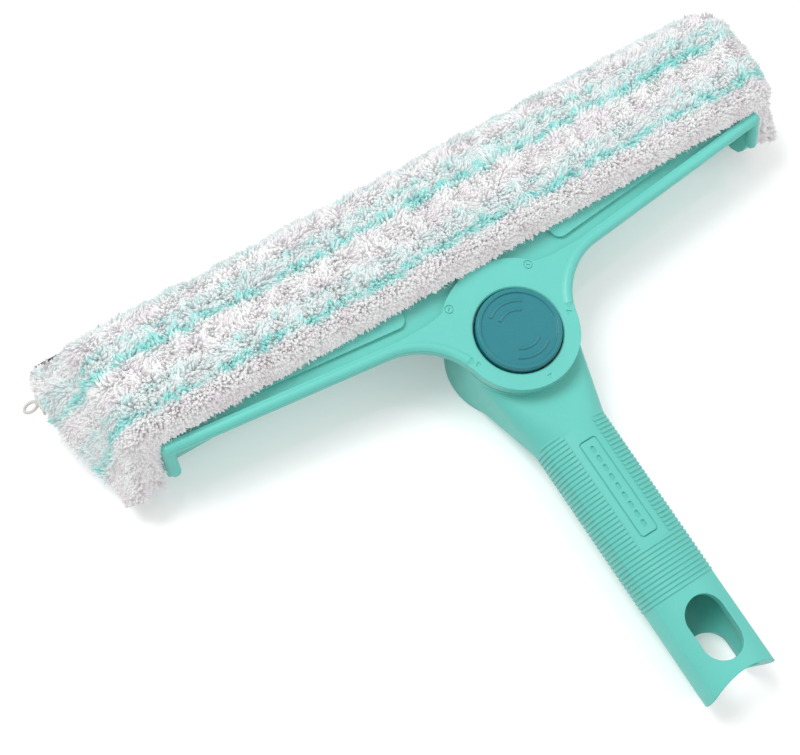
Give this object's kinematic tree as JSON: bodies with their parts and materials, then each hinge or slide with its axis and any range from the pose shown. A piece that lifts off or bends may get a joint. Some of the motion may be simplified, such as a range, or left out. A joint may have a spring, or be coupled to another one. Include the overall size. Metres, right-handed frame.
{
  "type": "window cleaning squeegee",
  "caption": "Swivel-head window squeegee: plush washer sleeve on the front, rubber blade in a metal rail on the back, ribbed socket handle and a round release button.",
  "frame": {"origin": "swivel axis at the hub's flat back face, on which the tool lies", "axes": "+Z along the swivel axis out of the release button, +X along the head, +Y from the hub towards the sleeve and the blade; the handle runs along -Y"},
  "size_m": [0.3441, 0.2536, 0.0469],
  "materials": {
    "shell_aqua": "fine-grained moulded plastic",
    "frame_aqua": "satin moulded plastic",
    "button_teal": "satin moulded plastic",
    "insert_teal": "matte moulded plastic",
    "bearing_white": "natural nylon",
    "clutch_grey": "glass-filled nylon",
    "ring_steel": "pressed steel",
    "screw_steel": "zinc plated",
    "spring_steel": "drawn wire",
    "rail_aluminium": "extruded and anodised",
    "blade_rubber": "matte rubber",
    "plush_fabric": "looped microfibre plush with stripes",
    "strip_fabric": "hook tape",
    "loop_thread": "woven tape and thread"
  },
  "bodies": {
    "handle": {"handle_shell": "shell_aqua", "back_cap": "shell_aqua", "cap_screws": "screw_steel", "return_spring": "spring_steel"},
    "head": {"head_frame": "frame_aqua", "sleeve_carrier": "frame_aqua", "carrier_plugs": "insert_teal", "carrier_screws": "screw_steel", "glide_washer": "bearing_white", "retaining_ring": "ring_steel", "ring_screws": "screw_steel", "blade_rail": "rail_aluminium", "squeegee_blade": "blade_rubber", "rail_clips": "insert_teal", "rail_screws": "screw_steel", "washer_sleeve": "plush_fabric", "hook_strips": "strip_fabric", "loop_tab": "loop_thread", "hang_loop": "loop_thread"},
    "button": {"release_button": "button_teal", "clutch_disc": "clutch_grey", "stem_clip": "spring_steel"}
  },
  "joints": [
    {"name": "head_swivel", "type": "hinge", "parent": "handle", "child": "head", "pos_m": [0, 0, 0.0307], "axis": [0, 0, 1], "range_deg": [-80, 80]},
    {"name": "button_press", "type": "slide", "parent": "handle", "child": "button", "axis": [0, 0, -1], "range_m": [0, 0.0035], "stiffness_N_per_m": 400, "springref_m": -0.006, "deforming": ["return_spring"]}
  ]
}
